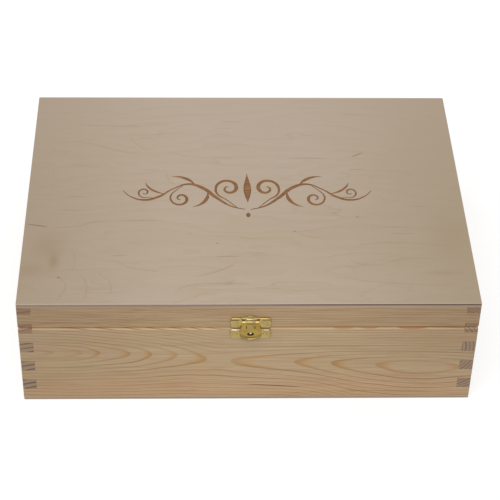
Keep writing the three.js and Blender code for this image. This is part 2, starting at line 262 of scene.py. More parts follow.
def veneer(finish, fibre, offset, hills, veins, stains, streaks):
    """The colour of a sheet's face. Its year rings show as the contour lines of a low landscape
    with a few hills, more faintly where the sheet has veins of its own."""
    from_front = (finish.y + half_depth + 1) / (half_depth * 2)
    height = from_front ** 1.4 * 17
    height = height + finish.noise((120, 34, 60), detail=3, offset=offset) * 6
    for x, y, width, depth, top in hills:
        height = height + hill(finish, x, y, width, depth) * top
    ring = height.fraction()
    line = ring.between(0.82, 0.96) * (1 - ring.between(0.95, 1)) * (0.4 if veins else 1)
    strength = finish.noise((45, 12, 50), detail=2, offset=offset + 7).between(0.4, 0.7)
    broad = finish.noise((110, 60, 70), detail=2, offset=offset + 3)
    fleck = finish.noise((5, 0.5, 3), detail=2, offset=offset + 13)
    figure = finish.noise((45, 7, 10), detail=3, offset=offset + 9)
    colour = broad.between(0.3, 0.7).mixed(birch["grey"], birch["warm"])
    colour = (ring.between(0.2, 1) * 0.2).mixed(colour, birch["late ring"])
    colour = (line * (strength * 0.5 + 0.04)).mixed(colour, birch["ring line"])

    # its own veins, a little crooked and broken, and then its figure, fibres and pale flecks
    wobble = (finish.noise((5, 1.2, 3), detail=2, offset=offset + 17) - 0.5) * 1.6
    broken = finish.noise((12, 3, 3), detail=2, offset=offset + 19).between(0.3, 0.6) * 0.6 + 0.4
    for darkness, points in veins:
        thread = vein(finish, points, wobble) * broken
        colour = (thread * darkness * 0.7).mixed(colour, birch["vein"])
    colour = (figure.between(0.42, 0.75) * 0.2).mixed(colour, birch["figure"])
    colour = (fibre.between(0.3, 0.8) * 0.16).mixed(colour, birch["fibre"])
    colour = (fleck.between(0.6, 0.75) * 0.22).mixed(colour, birch["fleck"])

    # painted light falloff: the sheet is darker and browner towards its sides, most on the right, and
    # paler towards the back
    colour = (abs(finish.x).between(40, 190) * 0.8).mixed(colour, birch["sides"])
    colour = (finish.x.between(0, half_width) * 0.3).mixed(colour, birch["right side"])
    colour = (finish.y.between(-60, 140) * 0.25).mixed(colour, birch["back"])
    for x, y, width, depth, darkness in stains:
        colour = (hill(finish, x, y, width, depth) * darkness).mixed(colour, birch["stain"])
    for x, y, length, width, slope, darkness in streaks:
        mark = streak(finish.x - x, finish.y - y, length, width, slope)
        colour = (mark * darkness).mixed(colour, birch["streak"])
    return colour


def layered_edges(finish, panel, face, dirt_and_shade):
    """The colour of a sheet's edges, over the colour of its face: end grain in the core at the front
    and back, and in the two veneers at the sides. The last argument is how soiled they are, which
    shows most in a dark line along the top veneer."""
    low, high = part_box(panel)
    middle_height = (low.z + high.z) * 500
    above_middle = finish.z - middle_height
    off_middle = abs(above_middle)
    core = 1 - off_middle.between(0.6, 0.75)
    glue = off_middle.between(0.5, 0.65) * (1 - off_middle.between(0.7, 0.85))
    at_front = abs(finish.facing_y).between(0.8, 0.95)
    at_side = abs(finish.facing_x).between(0.8, 0.95)
    edge = at_front + at_side
    short = finish.noise((1.1, 1.1, 0.5), detail=3)
    long = finish.noise((26, 26, 0.35), detail=3)
    end_grain = short.mixed(birch["end grain"], birch["pale end grain"])
    long_grain = long.mixed(birch["long grain"], birch["pale long grain"])
    colour = at_front.mixed(face, core.mixed(long_grain, end_grain))
    colour = at_side.mixed(colour, core.mixed(end_grain, long_grain))
    colour = (glue * edge * 0.15).mixed(colour, birch["glue"])

    # handling soils the edges near the corners, and a light painted highlight lies along the arris at the
    # front and back
    soiled = [(-half_width, 1), (-60, 1), (30, 0), (95, 0.1), (140, 0.9), (half_width, 1)]
    soiled = finish.x.along_curve(soiled)
    colour = (edge * soiled * dirt_and_shade * 0.35).mixed(colour, birch["soiled edge"])
    from_rim = half_depth - abs(finish.y)
    arris_highlight = (1 - from_rim.between(0.6, 1.4)) * (1 - edge)
    colour = (arris_highlight * 0.5).mixed(colour, birch["arris highlight"])
    top_veneer = above_middle.between(0.4, 0.6) * edge
    top_veneer = top_veneer.larger((1 - from_rim.between(0.25, 0.5)) * (1 - edge))
    to_the_right = finish.x.between(-60, 60) * 0.6 + 0.45
    return (top_veneer * to_the_right * dirt_and_shade).mixed(colour, birch["dark veneer"])


def birch_plywood(name, panel, offset, hills, stains, streaks, edge_dirt, veins=()):
    """Birch plywood for one panel: a quiet veneer above and below, and its layers round the edges.
    A hill is (x, y, width, depth, height), a stain (x, y, width, depth, darkness), a streak
    (x, y, length, width, slope, darkness) and a vein (darkness, [(x, y), ...])."""
    finish = Finish(name, roughness=0.5)
    fibre = finish.noise((16, 0.6, 3), detail=3, offset=offset + 5)
    face = veneer(finish, fibre, offset, hills, veins, stains, streaks)
    finish.feed(Base_Color=layered_edges(finish, panel, face, edge_dirt))
    finish.bump(fibre, 0.05)
    return finish


base_plywood = birch_plywood(
    "base_plywood",
    panel="base_bottom_panel",
    offset=31,
    hills=[(60, -40, 60, 25, 2.5), (-90, 50, 45, 20, 2)],
    stains=[(110, 60, 40, 20, 0.3)],
    streaks=[(40, 20, 4, 1, 0.2, 0.6)],
    edge_dirt=0,
)
dress("base_bottom_panel", base_plywood)


# Four pine boards, 10 mm thick, planed, finger-jointed and glued into a ring. The ring is sawn
# in two at the seam, so each lid board carries on the grain of the base board below it.

seam = (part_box("base_front_board")[1].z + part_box("lid_front_board")[0].z) * 500
ring_depth = 2.7
pine = {
    "pale": paint(179, 155, 121),
    "warm": paint(182, 161, 130),
    "stripe": paint(171, 137, 100),
    "low": paint(194, 158, 118),
    "lid": paint(165, 138, 103),
    "late wood": paint(180, 136, 76),
    "ring line": paint(134, 102, 62),
    "faint line": paint(144, 110, 72),
    "light dash": paint(192, 162, 128),
    "dark dash": paint(148, 108, 74),
    "fibre": paint(150, 118, 82),
    "thread": paint(128, 90, 58),
    "eased rim": paint(206, 174, 132),
    "amber rim": paint(180, 126, 68),
    "sawn end": paint(153, 128, 103),
    "sawn late wood": paint(84, 59, 42),
    "pores": paint(119, 91, 67),
    "upper ends": paint(128, 80, 42),
    "lid ends": paint(96, 66, 46),
    "dark pitch": paint(104, 64, 38),
    "brown pitch": paint(132, 84, 48),
    "amber pitch": paint(184, 132, 76),
    "deep amber pitch": paint(178, 120, 64),
}


class PineBoard(Finish):
    """One pine board's wood. Its year rings are tubes round a wandering pith, so that the faces,
    the ends and the chamfers all cut the same rings. run and depth give, from the finish, the
    place along the board and the depth behind its outer face. crest is the ring that lies in the
    face at the pith's height, and ring_above and ring_below are how wide the rings are. A mark of
    pitch is (place along the board, height, length, width, slope, darkness, colour)."""

    def __init__(self, name, run, depth, crest, pith, ring_above, ring_below, offset, pitch=()):
        super().__init__(name, roughness=0.55)
        self.along = run(self)
        self.inward = depth(self)
        self.offset = offset
        self.on_lid = self.z.between(seam - 1, seam + 4)
        self.grow_rings(crest, pith, ring_above, ring_below)
        fibre = self.drawn_out(34, 0.45, 3, 2)
        colour = self.planed_face(fibre)
        for place, height, length, width, slope, darkness, stain in pitch:
            mark = streak(self.along - place, self.z - height, length, width, slope)
            mark = mark * (1 - self.inward.between(1.5, 3))
            colour = (mark * darkness).mixed(colour, stain)
        facing = self.facing_x if self.along is self.x else self.facing_y
        is_end = abs(facing).between(0.6, 0.8)
        self.feed(Base_Color=is_end.mixed(self.toned_by_place(colour), self.sawn_end()))
        self.bump(fibre * 0.6 + self.late * 0.4, 0.06)

    def drawn_out(self, length, thickness, detail, number):
        """Noise that is drawn out along the board."""
        spread = (thickness, length, thickness)
        if self.along is self.x:
            spread = (length, thickness, thickness)
        return self.noise(spread, detail=detail, offset=self.offset + number)

    def grow_rings(self, crest, pith, ring_above, ring_below):
        """Finds the rings' amber late wood, the dark line that ends it, and the faint lines that
        lie between them low on the board."""
        wander = self.drawn_out(90, 22, 1, 0) - 0.5
        self.rise = self.z - self.along.along_curve(pith)
        above = self.rise.larger(0) / self.along.along_curve(ring_above)
        below = self.rise.smaller(0) / self.along.along_curve(ring_below)
        from_pith = self.along.along_curve(crest) + self.inward / ring_depth
        rings = ((above + below) ** 2 + from_pith ** 2) ** 0.5 + wander * 0.4
        growth = rings.fraction()
        year = rings.maths("FLOOR", rings)
        chance = self.wire.node("TexWhiteNoise", {"noise_dimensions": "1D"}, {"W": year + self.offset})
        fade = self.drawn_out(60, 20, 2, 8).between(0.3, 0.6) * 0.5 + 0.5
        self.amber = growth.between(0.58, 0.84) * (1 - growth.between(0.94, 1))
        self.late = self.amber * (chance * 0.4 + 0.6) * fade
        line = growth.between(0.74, 0.92) * (1 - growth.between(0.95, 1))
        self.line = line * (chance * 0.6 + 0.4) * fade
        halfway = (rings * 2 + 0.25).fraction()
        faint = halfway.between(0.66, 0.86) * (1 - halfway.between(0.9, 1))
        self.faint = faint * (1 - self.z.between(16, 32)) * fade

    def planed_face(self, fibre):
        """The colour of the board's faces and of the eased rim at the seam."""
        stripe = self.drawn_out(80, 2.2, 2, 12)
        broad = self.drawn_out(110, 30, 1, 4)
        dash = self.drawn_out(48, 0.65, 2, 16)
        thread = self.drawn_out(18, 0.4, 2, 20).between(0.55, 0.7)
        thread = thread * self.drawn_out(60, 12, 1, 22).between(0.35, 0.6)
        crossing = 1 - abs(self.rise).between(2, 10)
        low = 1 - self.z.between(6, 30)
        streaky = self.on_lid * 0.3 + 0.22
        colour = broad.between(0.3, 0.7).mixed(pine["pale"], pine["warm"])
        colour = (stripe.between(0.4, 0.7) * 0.5).mixed(colour, pine["stripe"])
        colour = (low * 0.6).mixed(colour, pine["low"])
        colour = (self.on_lid * 0.75).mixed(colour, pine["lid"])

        # the rings: wide and amber at the pith's height, and fine dark lines above and below it
        colour = (self.late * (crossing * 0.6 + 0.32)).mixed(colour, pine["late wood"])
        colour = (self.line * (1 - crossing * 0.5)).mixed(colour, pine["ring line"])
        colour = (self.faint * 0.45).mixed(colour, pine["faint line"])

        # short marks along the grain, which show most on the lid
        colour = ((1 - dash.between(0.3, 0.5)) * streaky).mixed(colour, pine["light dash"])
        colour = (dash.between(0.5, 0.7) * streaky).mixed(colour, pine["dark dash"])
        colour = (fibre.between(0.4, 0.75) * 0.25).mixed(colour, pine["fibre"])
        colour = (thread * (streaky + 0.1)).mixed(colour, pine["thread"])

        # the eased rim cuts the rings aslant, so that their late wood shows amber; the rest of the rim is
        # pale sanded wood with a painted highlight, as it faces up
        eased = self.facing_z.between(0.3, 0.6) * (1 - self.facing_z.between(0.8, 0.95))
        rim = self.amber.between(0.1, 0.4).mixed(pine["eased rim"], pine["amber rim"])
        return (eased * 0.85).mixed(colour, rim)

    def toned_by_place(self, colour):
        """The same colour a little darker towards the corners, and paler low down."""
        corners = abs(self.along).between(20, 175)
        paler = (1 - self.z.between(34, 54)) * 0.045 + 1.05
        paler = paler + (1 - self.z.between(22, 38)) * self.along.between(40, 100) * 0.06
        red = paler - corners * 0.17
        green = paler - corners * 0.19
        return self.scaled(colour, self.vector(red, green, green - 0.02))

    def sawn_end(self):
        """The colour of the board's ends, where the rings are cut across."""
        pores = self.noise((0.5, 0.5, 0.5), detail=3, offset=self.offset + 6)
        late = self.late * (1.2 - self.on_lid * 0.5)
        colour = late.mixed(pine["sawn end"], pine["sawn late wood"])
        colour = (pores.between(0.35, 0.75) * 0.4).mixed(colour, pine["pores"])
        upper = self.z.between(seam - 14, seam - 8)
        colour = (upper * 0.25).mixed(colour, pine["upper ends"])
        return (self.on_lid * 0.18).mixed(colour, pine["lid ends"])


# A slab sawn close to the pith: nested arches on the left, turning into a long oval on the right.
front_pine = PineBoard(
    "front_pine",
    run=lambda wood: wood.x,
    depth=lambda wood: wood.y + half_depth,
    crest=[
        (-165, 0.1), (-142.7, 0.9), (-120.5, 1.92), (-107.9, 2.9), (-85.7, 3.92), (-70.7, 4.92),
        (-53, 5.93), (-32, 6.93), (-21, 7.2), (-9.9, 6.95), (37.2, 5.95), (62.8, 4.95), (95, 3.93),
        (124.8, 3.3), (154, 3.93), (165, 4.2),
    ],
    pith=[
        (-165, 48.8), (-142.7, 48.5), (-85.7, 47.4), (-52, 45.5), (-30.9, 41.7), (-10.9, 39.4),
        (34.7, 38.4), (61, 37.4), (93.4, 35.6), (124.8, 33.7), (165, 33),
    ],
    ring_above=[
        (-165, 2.8), (-134, 2.73), (-109, 2.57), (-89, 2.43), (-54, 2.33), (-24, 2.4), (67, 2.33),
        (118, 2.46), (165, 2.5),
    ],
    ring_below=[(-165, 3.1), (-60, 3.2), (30, 2.8), (95, 3.7), (165, 3.7)],
    offset=11,
    pitch=[
        (20, 13.9, 48, 1.2, -0.08, 0.9, pine["dark pitch"]),
        (104, 8.2, 76, 1, -0.012, 0.45, pine["brown pitch"]),
        (-46, 8.4, 40, 1, 0, 0.3, pine["brown pitch"]),
        (67.5, seam - 0.5, 18, 2.4, 0, 0.7, pine["amber pitch"]),
        (86.5, seam - 0.4, 14, 2.2, 0, 0.7, pine["amber pitch"]),
        (117.5, seam - 0.4, 26, 2.4, 0, 0.9, pine["deep amber pitch"]),
    ],
)
back_pine = PineBoard(
    "back_pine",
    run=lambda wood: wood.x,
    depth=lambda wood: half_depth - wood.y,
    crest=[(-165, 9), (-110, 6.2), (-40, 8), (20, 10.5), (90, 12), (165, 10)],
    pith=[(-165, 20), (-60, 24), (60, 30), (165, 27)],
    ring_above=[(-165, 2.9), (0, 2.6), (165, 2.9)],
    ring_below=[(-165, 3.1), (165, 2.9)],
    offset=23,
)
left_pine = PineBoard(
    "left_pine",
    run=lambda wood: wood.y,
    depth=lambda wood: wood.x + half_width,
    crest=[(-125, -8.4), (-40, -7), (40, -6.2), (125, -7.5)],
    pith=[(-125, -160), (0, -156), (125, -163)],
    ring_above=[(-125, 4.4), (125, 4.1)],
    ring_below=[(-125, 4.4), (125, 4.1)],
    offset=37,
)
right_pine = PineBoard(
    "right_pine",
    run=lambda wood: wood.y,
    depth=lambda wood: half_width - wood.x,
    crest=[(-125, -12.5), (-50, -11), (30, -9.5), (125, -11.5)],
    pith=[(-125, 52), (0, 47), (125, 53)],
    ring_above=[(-125, 2.4), (125, 2.6)],
    ring_below=[(-125, 2.4), (125, 2.6)],
    offset=53,
)
walls = {"front": front_pine, "back": back_pine, "left": left_pine, "right": right_pine}
for wall, wood in walls.items():
    dress("base_" + wall + "_board", wood)
    dress("lid_" + wall + "_board", wood)


# The brass: plates and leaves stamped from sheet, knuckles rolled round wire, and turned nails.
# The parts are tumbled after stamping, which rounds their edges and leaves a soft shine.

# colours for painted light on the brass: a highlight colour, a shaded colour and a dark brown for painted
# shade, and a near-white painted highlight
highlight_brass = paint(228, 208, 140)
shaded_brass = paint(132, 110, 66)
white_highlight_brass = paint(250, 245, 228)
shade_brown = paint(66, 48, 20)


def brass(name, light, dark, roughness, offset, deep_shade=None, soft_shade=None, highlight=None):
    """Brass that is dull in clouds, with a painted highlight where it faces up and painted shade
    underneath. The last three arguments give, from the finish, where more painted shade lies,
    where a lighter painted shade dulls it, and where a near-white painted highlight lies."""
    finish = Finish(name, roughness, metallic=1)
    cloud = finish.noise((7, 7, 7), detail=3, offset=offset).between(0.35, 0.7)
    grain = finish.noise((0.25, 0.25, 0.25), detail=2, offset=offset + 3)
    # a painted highlight where the brass faces up, and painted shade where it faces down
    lit_from_above = finish.facing_z.between(0.45, 0.95)
    dirt_and_shade = 1 - finish.facing_z.between(-0.8, -0.3)
    if deep_shade:
        dirt_and_shade = dirt_and_shade.larger(deep_shade(finish))
    colour = cloud.mixed(light, dark)
    colour = (lit_from_above * 0.8).mixed(colour, highlight_brass)
    if soft_shade:
        colour = (soft_shade(finish) * 0.8).mixed(colour, shaded_brass)
    if highlight:
        colour = highlight(finish).mixed(colour, white_highlight_brass)
    colour = (dirt_and_shade * 0.9).mixed(colour, shade_brown)
    finish.feed(
        Base_Color=colour,
        Roughness=cloud * 0.14 + dirt_and_shade * 0.3 + roughness,
    )
    finish.bump(grain, 0.012)
    return finish


def placed(name, data):
    """Puts a new object in the scene."""
    made = bpy.data.objects.new(name, data)
    bpy.context.scene.collection.objects.link(made)
    return made


def ease(solid, edges, radius, segments, **settings):
    """Rounds a solid's edges to a radius in metres."""
    bmesh.ops.bevel(
        solid,
        geom=edges,
        offset=radius,
        affect="EDGES",
        segments=segments,
        profile=0.5,
        material=-1,
        **settings,
    )


joined_within = 0.000002
merged_within = 0.0000005
flat_within = math.radians(0.5)
edges_from = math.radians(50)
creases_from = math.radians(40)


def eased_copy(node, body, finish, easing):
    """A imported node's solid again, with its sharp edges rounded by so many millimetres and its
    curves smooth. Its loose corners are joined first, and the rounding's slivers merged after."""
    solid = bmesh.new()
    solid.from_mesh(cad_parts[node].data)
    bmesh.ops.remove_doubles(solid, verts=solid.verts, dist=joined_within)
    bmesh.ops.dissolve_limit(
        solid,
        angle_limit=flat_within,
        verts=solid.verts,
        edges=solid.edges,
    )
    sharp = [edge for edge in solid.edges if edge.calc_face_angle(0) > edges_from]
    ease(solid, sharp, easing / 1000, segments=2, clamp_overlap=True)
    bmesh.ops.remove_doubles(solid, verts=solid.verts, dist=merged_within)
    bmesh.ops.triangulate(solid, faces=solid.faces)
    mesh = bpy.data.meshes.new(node + "_brass")
    solid.to_mesh(mesh)
    solid.free()
    mesh.shade_smooth()
    mesh.set_sharp_from_angle(angle=creases_from)
    mesh.materials.append(finish.material)
    piece = placed(node + "_brass", mesh)
    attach(piece, body)
    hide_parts(node)


def band(value, low, high, soft):
    """1 from low to high."""
    return value.between(low - soft, low + soft) * (1 - value.between(high - soft, high + soft))


stud_low, stud_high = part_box("latch_stud")
stud_x = (stud_low.x + stud_high.x) * 500
stud_z = (stud_low.z + stud_high.z) * 500
crown_and_bead = 3.2
bead_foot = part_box("latch_upper_plate")[1].z * 1000 - crown_and_bead
lower_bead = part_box("latch_lower_plate")[1].z * 1000
lower_bead_end = 14.1
knuckle_z = (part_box("latch_pin")[0].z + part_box("latch_pin")[1].z) * 500
flare_rise = 8.3
flare_radius = 11.5


def away(finish, x, z):
    """How far a place on the front is from a point of the latch."""
    return ((finish.x - x) ** 2 + (finish.z - z) ** 2) ** 0.5


def on_knuckle(finish):
    """1 on the upper plate's knuckle, which stands out in front of the plate."""
    return 1 - finish.y.between(-half_depth - 2, -half_depth - 1.6)


def plate_shade(finish):
    """Painted shade along the crease under the upper plate's bead, under its knuckle, at the end of the
    lower plate's bead, and round the stud."""
    beside_hasp = abs(finish.x - stud_x).between(8, 8.4)
    crease = band(finish.z, bead_foot - 1.1, bead_foot + 0.4, 0.15) * beside_hasp
    crease = crease * (1 - finish.x.between(0, 12) * 0.3)
    under = on_knuckle(finish) * (1 - finish.z.between(knuckle_z - 0.9, knuckle_z - 0.4))
    spot = 1 - away(finish, stud_x + lower_bead_end, lower_bead - 0.5).between(0.5, 1)
    behind_hasp = 1 - away(finish, stud_x, stud_z).between(2.6, 3.2)
    return (crease + under * 0.8 + spot).larger(behind_hasp)


def plate_soft_shade(finish):
    """Painted shade on the crown above the bead, and on the middle knuckle."""
    crown = finish.z.between(bead_foot + 1, bead_foot + 1.4) * 0.6
    return crown.larger(on_knuckle(finish) * 0.85)


def plate_highlight(finish):
    """A painted highlight on the lower plate's bead, towards its ends, and in the crease behind the
    knuckles.
    """
    left_end = band(finish.x, stud_x - 13.6, stud_x - 9.8, 0.4)
    right_end = band(finish.x, stud_x + 9.6, stud_x + 13.2, 0.3)
    bead = band(finish.z, lower_bead - 1.2, lower_bead + 0.2, 0.1) * finish.facing_z.between(0.1, 0.4)
    sideways = abs(finish.x - stud_x)
    behind = 1 - sideways.between(3.8, 4.2) * 0.4 - sideways.between(5.6, 6.2) * 0.6
    crease = band(finish.z, bead_foot - 1.2, bead_foot + 0.9, 0.15) * behind
    return bead * (left_end + right_end) * 0.7 + crease * (1 - on_knuckle(finish)) * 0.62


def hasp_shade(finish):
    """Painted shade along the bend of the flared nose."""
    from_flare = away(finish, stud_x, stud_z + flare_rise)
    central = 1 - abs(finish.x - stud_x).between(2.5, 5)
    return band(from_flare, flare_radius - 0.3, flare_radius + 0.4, 0.25) * central * 0.6


def nose_shade(finish):
    """Painted shade on the flared nose, below its bend."""
    return away(finish, stud_x, stud_z + flare_rise).between(flare_radius - 1.5, flare_radius - 0.5)


def stud_shade(finish):
    """Painted shade round the bright top of the stud."""
    return away(finish, stud_x, stud_z - 0.2).between(0.6, 1)


plate_brass = brass(
    "plate_brass",
    light=paint(174, 152, 98),
    dark=paint(163, 139, 84),
    roughness=0.16,
    offset=5,
    deep_shade=plate_shade,
    soft_shade=plate_soft_shade,
    highlight=plate_highlight,
)
hasp_brass = brass(
    "hasp_brass",
    light=paint(165, 140, 75),
    dark=paint(152, 124, 64),
    roughness=0.16,
    offset=7,
    deep_shade=hasp_shade,
    soft_shade=nose_shade,
)
hinge_brass = brass(
    "hinge_brass",
    light=paint(174, 153, 90),
    dark=paint(163, 138, 76),
    roughness=0.16,
    offset=5,
)
pin_brass = brass(
    "pin_brass",
    light=paint(174, 153, 90),
    dark=paint(163, 138, 76),
    roughness=0.12,
    offset=9,
)
# the stud's near-white colour is a painted highlight, with painted shade round its top
stud_brass = brass(
    "stud_brass",
    light=paint(250, 242, 214),
    dark=paint(246, 236, 206),
    roughness=0.25,
    offset=11,
    deep_shade=stud_shade,
)
sheets = {
    "latch_upper_plate": ("lid", plate_brass),
    "latch_lower_plate": ("base", plate_brass),
    "latch_hasp": ("hasp", hasp_brass),
    "left_hinge_base_leaf": ("base", hinge_brass),
    "left_hinge_lid_leaf": ("lid", hinge_brass),
    "right_hinge_base_leaf": ("base", hinge_brass),
    "right_hinge_lid_leaf": ("lid", hinge_brass),
}
for node, (body, finish) in sheets.items():
    eased_copy(node, body, finish, easing=0.07)
eased_copy("latch_stud", "base", stud_brass, easing=0.05)
bodies_of_pins = {"latch_pin": "lid", "left_hinge_pin": "base", "right_hinge_pin": "base"}
for end in ("left", "right"):
    bodies_of_pins["latch_upper_nail_" + end] = "lid"
    bodies_of_pins["latch_lower_nail_" + end] = "base"
    for hinge in ("left", "right"):
        bodies_of_pins[hinge + "_hinge_base_nail_" + end] = "base"
        bodies_of_pins[hinge + "_hinge_lid_nail_" + end] = "lid"
for node, body in bodies_of_pins.items():
    eased_copy(node, body, pin_brass, easing=0.05)


# The lid's panel, glued over the lid boards: the same plywood, with its top edges eased and a
# vine scroll burnt 0.3 mm into the veneer by a laser, its walls leaning out a little.

lid_plywood = birch_plywood(
    "lid_plywood",
    panel="lid_top_panel",
    offset=2,
    hills=[(0, -128, 75, 20, 2.2), (-160, 8, 32, 18, 1.6), (-80, 62, 26, 12, 1.3)],
    stains=[
        (-141, -78, 3.5, 8, 0.5), (-146, -62, 12, 17, 0.28), (-158, -88, 12, 8, 0.3),
        (142, -91.5, 13, 2.4, 0.25), (150, -50, 14, 22, 0.15), (40, -45, 50, 30, 0.08),
    ],
    streaks=[
        (-155.5, -37.8, 18, 1.2, -0.2, 0.8), (89, 48.5, 11, 1.4, 0.6, 0.7), (35.5, -45, 3, 1.2, 0, 0.5),
        (-22.2, -58.2, 1.8, 1.4, 0, 0.6), (83.5, -28, 3.5, 1.3, -0.3, 0.45),
        (-136.5, -96, 2.6, 1.5, 0, 0.75), (50, 44, 38, 0.9, 0, 0.4), (-15, -73, 22, 0.9, 0, 0.38),
        (-95, -72.2, 16, 0.9, 0.03, 0.32), (66, -23.5, 4, 1.3, 0, 0.35),
        (-130, -3.8, 26, 0.8, 0.02, 0.25), (-128, -19.8, 32, 0.8, 0.01, 0.3),
        (130, -15.3, 24, 0.8, -0.01, 0.25), (112, -40, 28, 0.8, 0, 0.25), (115, -47.4, 22, 0.9, 0, 0.3),
        (87, 30, 16, 0.9, 0, 0.3), (50, 74, 14, 0.8, 0, 0.25), (-16, 83, 18, 0.8, -0.02, 0.25),
        (-9, 91.6, 22, 0.9, -0.04, 0.3), (-73, 29, 18, 0.8, -0.08, 0.25),
        (107, -58, 40, 0.9, 0.01, 0.2),
    ],
    veins=[
        (0.45, [(-138, -123), (-134, -115), (-131, -106), (-134, -99), (-140, -93), (-148, -89.5)]),
        (0.4, [(-118, -122), (-116, -112), (-116.5, -103), (-120, -95), (-126, -91)]),
        (0.35, [(-129, -91), (-126, -85), (-126, -75), (-127, -67)]),
        (0.3, [(-101, -118), (-98.5, -107), (-100, -100), (-105, -95), (-110, -88)]),
        (0.5, [
            (-150, -38.5), (-138, -40), (-128, -39.5), (-120, -36.5), (-113, -34), (-100, -32.8),
            (-60, -32),
        ]),
        (0.4, [(-97, -74.5), (-93, -80), (-88, -84), (-80, -87), (-62, -89)]),
        (0.5, [(-38, -95), (-26, -91), (-16, -85.5), (-9.5, -81), (-7.5, -74)]),
        (0.45, [(-56, -119), (-51, -110), (-45, -105.5), (-34, -103), (-18, -102.5), (4, -103.5)]),
        (0.4, [(76, -61.2), (88, -60), (95, -58.5), (105, -57.5), (118, -58), (132, -59.5), (152, -62)]),
        (0.45, [
            (70, -68), (74.5, -76), (79, -80.5), (86, -82.5), (96, -82), (104, -79), (112, -76),
            (142, -76.5),
        ]),
        (0.35, [(58, -96), (72, -97), (83, -100), (96, -101.5), (112, -103), (130, -104.5), (150, -105)]),
        (0.35, [(2, -106.5), (20, -108.5), (34, -110.5), (52, -110)]),
        (0.35, [(35, -44.5), (44, -50), (52, -52.5), (64, -53.5)]),
        (0.4, [
            (-152, 96), (-140, 92), (-130, 88), (-110, 86.3), (-85, 85.5), (-76, 87.3), (-60, 87.5),
            (-52, 84),
        ]),
        (0.35, [(-98, 74), (-75, 74.3), (-60, 76), (-44, 76.3)]),
        (0.45, [(-150, 62.5), (-135, 64.5), (-122, 63), (-112, 59.5), (-102, 55), (-92, 51.5), (-76, 48)]),
        (0.35, [(-88.5, 74), (-86.5, 65), (-82, 59.5), (-72, 53)]),
        (0.3, [(-63, 60), (-56, 51), (-48, 47.5), (-28, 44)]),
        (0.4, [(-149, 29), (-138, 33), (-125, 34), (-108, 33.3)]),
        (0.3, [(-148, 30), (-146.5, 21), (-141, 14)]),
        (0.35, [(-60, 28), (-58.5, 16), (-51, 9), (-38, 0)]),
        (0.35, [(-163, 4), (-152, 8), (-142, 14)]),
        (0.3, [(68, 57), (78, 54.5), (86, 53), (98, 52.5)]),
        (0.35, [(98, 30), (118, 27), (128, 24.3), (138, 24), (154, 19.5)]),
    ],
    edge_dirt=0.8,
)

light_burn = paint(156, 111, 66)
deep_burn = paint(112, 74, 38)
cloudy_burn = paint(128, 84, 42)
burnt = Finish("burnt_birch", roughness=0.75)
char_fibre = burnt.noise((20, 0.8, 4), detail=3)
char_cloud = burnt.noise((9, 6, 6), detail=2, offset=4)
char = char_fibre.between(0.3, 0.75).mixed(light_burn, deep_burn)
char = (char_cloud.between(0.35, 0.7) * 0.5).mixed(char, cloudy_burn)
burnt.feed(Base_Color=char)
burnt.bump(char_fibre, 0.08)


def spiral(centre, radii, start, turns, widths, points=14):
    """(x, y, half width) in millimetres, from the outer end of a spiral in to its eye."""
    outer, inner = radii
    first, widest, last = widths
    path = []
    for step in range(points):
        share = step / (points - 1)
        angle = math.radians(start) + turns * 2 * math.pi * share
        radius = inner + (outer - inner) * (1 - share) ** 1.15
        width = first + (widest - first) * math.sin(math.pi * min(1, share * 1.1))
        path.append((centre[0] + radius * math.cos(angle), centre[1] + radius * math.sin(angle), width))
    path[-1] = (*path[-1][:2], last)
    return path


# the right half of the scroll, in strokes of (x, y, half width), and what stands in its middle
stem = [
    (2, -16, 0.35), (12, -13, 0.7), (24, -4, 1.25), (34, 5.5, 1.5), (45, 9.5, 1), (57, 4.5, 0.6),
    (68, -3.5, 1.1), (79, -6.5, 0.95), (89, -3, 0.5), (95, 3, 0.25),
]
side_strokes = [
    stem,
    [(8, -14.2, 0.3)] + spiral((14.5, 5.2), (11.2, 1.6), -78, 1.45, (0.5, 1.35, 0.5)),
    [(48.5, 8.6, 0.3)] + spiral((51, -5), (8.6, 1.3), 62, -1.4, (0.4, 1.05, 0.45)),
    [(70, -4.9, 0.2)] + spiral((78.5, 1), (5.6, 1.1), -120, 1.25, (0.3, 0.75, 0.35)),
    [(40, 9.3, 0.3), (45, 14, 1.3), (52, 17, 0.9), (58, 17.2, 0.12)],
    [(63, -0.5, 0.3), (70, 2, 0.9), (76, 7, 0.7), (78, 11, 0.1)],
    [(30, 1.5, 0.3), (31, -5, 1.3), (36, -11, 0.9), (42, -13.5, 0.12)],
]
middle_strokes = [
    [(0, -9, 0.15), (0, -4, 1.5), (0, 1, 2.5), (0, 6, 2.7), (0, 11, 1.9), (0, 15.5, 0.9), (0, 20, 0.15)],
    [(0, -23.8, 0.1), (0, -22.9, 1.1), (0, -21.4, 1.5), (0, -19.9, 1.1), (0, -19, 0.1)],
]
mirrored = [[(-x, y, width) for x, y, width in stroke] for stroke in side_strokes]

scroll_offset = 1.5
scroll_stretch = 1.2
stroke_weight = 1.12
cut_above = 1
cut_depth = 0.3
welded_within = 0.000001
lid_top = cad_high.z * 1000

# the cut's cross-section, a millimetre either way, which the half widths of a stroke scale
nib_data = bpy.data.curves.new("nib", "CURVE")
nib_line = nib_data.splines.new("POLY")
nib_corners = [(-0.94, -1), (0.94, -1), (1, 1), (-1, 1)]
nib_line.points.add(len(nib_corners) - 1)
for point, corner in zip(nib_line.points, nib_corners):
    point.co = (corner[0] / 1000, corner[1] / 1000, 0, 1)
nib_line.use_cyclic_u = True
nib = placed("nib", nib_data)

